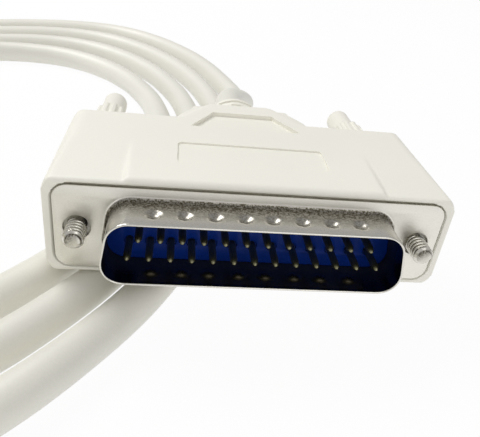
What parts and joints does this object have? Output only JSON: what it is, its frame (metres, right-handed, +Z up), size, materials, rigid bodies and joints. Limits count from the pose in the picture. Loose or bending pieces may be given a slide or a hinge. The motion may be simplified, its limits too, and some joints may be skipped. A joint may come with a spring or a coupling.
{
  "type": "d-sub connector with lead",
  "caption": "D-shaped multi-pin plug in a moulded hood with two thumbscrews, on a round lead that lies in a loose coil and ends in a second such plug.",
  "frame": {"origin": "middle of the flange's front face, half way between the two screws", "axes": "+X across the flange from the left screw to the right, -Y out of the mating face along the pins, +Z up, square to the flange's long side, with the narrow side of the D on top"},
  "size_m": [0.1569, 0.1966, 0.0212],
  "materials": {
    "mould": "satin",
    "thumb_mould": "satin",
    "lead_sheath": "satin",
    "core_mould": "matte",
    "shell_metal": "satin",
    "ferrule_metal": "satin",
    "screw_metal": "polished",
    "contact_metal": "satin",
    "blue_insulator": "gloss"
  },
  "bodies": {
    "connector": {"hood": "mould", "front_shell": "shell_metal", "rear_shell": "shell_metal", "front_insulator": "blue_insulator", "rear_insulator": "blue_insulator", "inner_mould": "core_mould", "ferrule": "ferrule_metal", "lead_end": "lead_sheath", "contact_01": "contact_metal", "contact_02": "contact_metal", "contact_03": "contact_metal", "contact_04": "contact_metal", "contact_05": "contact_metal", "contact_06": "contact_metal", "contact_07": "contact_metal", "contact_08": "contact_metal", "contact_09": "contact_metal", "contact_10": "contact_metal", "contact_11": "contact_metal", "contact_12": "contact_metal", "contact_13": "contact_metal", "contact_14": "contact_metal", "contact_15": "contact_metal", "contact_16": "contact_metal", "contact_17": "contact_metal", "contact_18": "contact_metal", "contact_19": "contact_metal", "contact_20": "contact_metal", "contact_21": "contact_metal", "contact_22": "contact_metal", "contact_23": "contact_metal", "contact_24": "contact_metal", "contact_25": "contact_metal", "lead": "lead_sheath", "lead_coil": "lead_sheath", "lead_tail": "lead_sheath", "far_hood": "mould", "far_front_shell": "shell_metal", "far_rear_shell": "shell_metal", "far_front_insulator": "blue_insulator", "far_rear_insulator": "blue_insulator", "far_inner_mould": "core_mould", "far_ferrule": "ferrule_metal", "far_lead_end": "lead_sheath", "far_contacts": "contact_metal"},
    "left_thumbscrew": {"left_screw": "screw_metal", "left_thumb_head": "thumb_mould"},
    "right_thumbscrew": {"right_screw": "screw_metal", "right_thumb_head": "thumb_mould"},
    "far_left_thumbscrew": {"far_left_screw": "screw_metal", "far_left_thumb_head": "thumb_mould"},
    "far_right_thumbscrew": {"far_right_screw": "screw_metal", "far_right_thumb_head": "thumb_mould"}
  },
  "joints": [
    {"name": "left_thumbscrew_turn", "type": "hinge", "parent": "connector", "child": "left_thumbscrew", "pos_m": [-0.02352, 0.012, 0], "axis": [0, 1, 0], "continuous": true},
    {"name": "right_thumbscrew_turn", "type": "hinge", "parent": "connector", "child": "right_thumbscrew", "pos_m": [0.02352, 0.012, 0], "axis": [0, 1, 0], "continuous": true},
    {"name": "far_left_thumbscrew_turn", "type": "hinge", "parent": "connector", "child": "far_left_thumbscrew", "pos_m": [-0.10352, -0.024, 0], "axis": [0, 1, 0], "continuous": true},
    {"name": "far_right_thumbscrew_turn", "type": "hinge", "parent": "connector", "child": "far_right_thumbscrew", "pos_m": [-0.05648, -0.024, 0], "axis": [0, 1, 0], "continuous": true}
  ]
}
